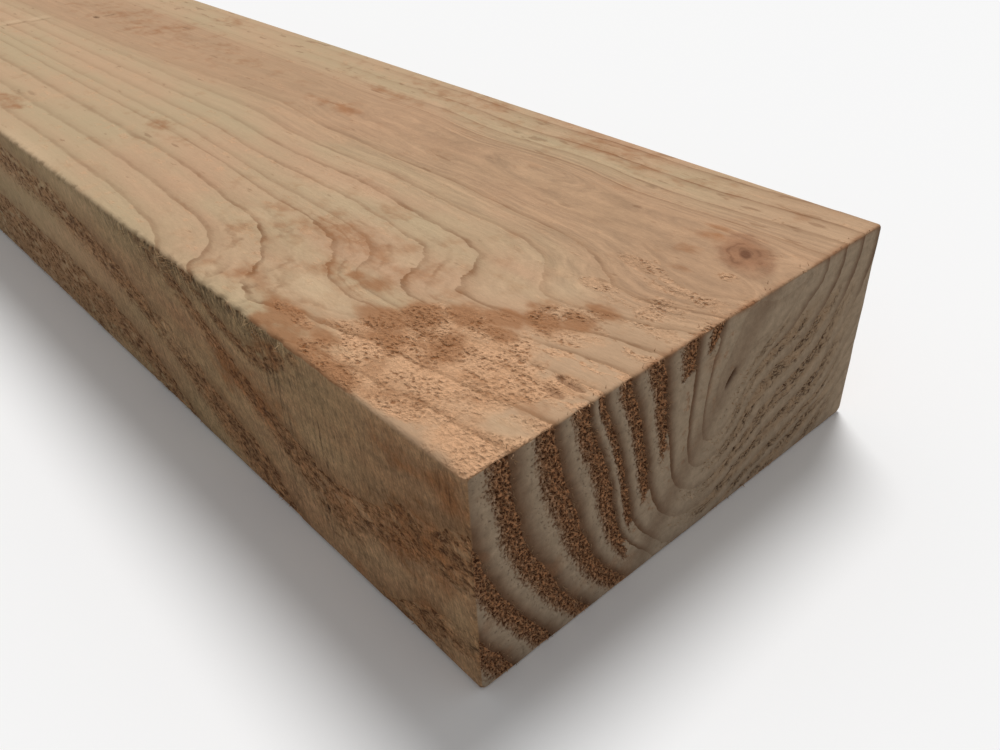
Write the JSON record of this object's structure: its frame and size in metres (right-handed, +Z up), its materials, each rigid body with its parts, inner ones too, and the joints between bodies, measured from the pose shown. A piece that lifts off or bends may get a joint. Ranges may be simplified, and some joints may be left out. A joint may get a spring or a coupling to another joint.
{
  "type": "timber purlin",
  "caption": "Straight rough-sawn softwood purlin of rectangular section with crosscut ends, laid across rafters or trusses to carry a roof.",
  "frame": {"origin": "middle of the underside, where the purlin lies on its wide face", "axes": "+X along the length towards the end that the picture shows, +Y across the width, +Z up through the thickness"},
  "size_m": [3, 0.175, 0.075],
  "materials": {
    "sawn_softwood": "rough sawn, unplaned, untreated"
  },
  "bodies": {
    "root": {"purlin": "sawn_softwood"}
  },
  "joints": []
}
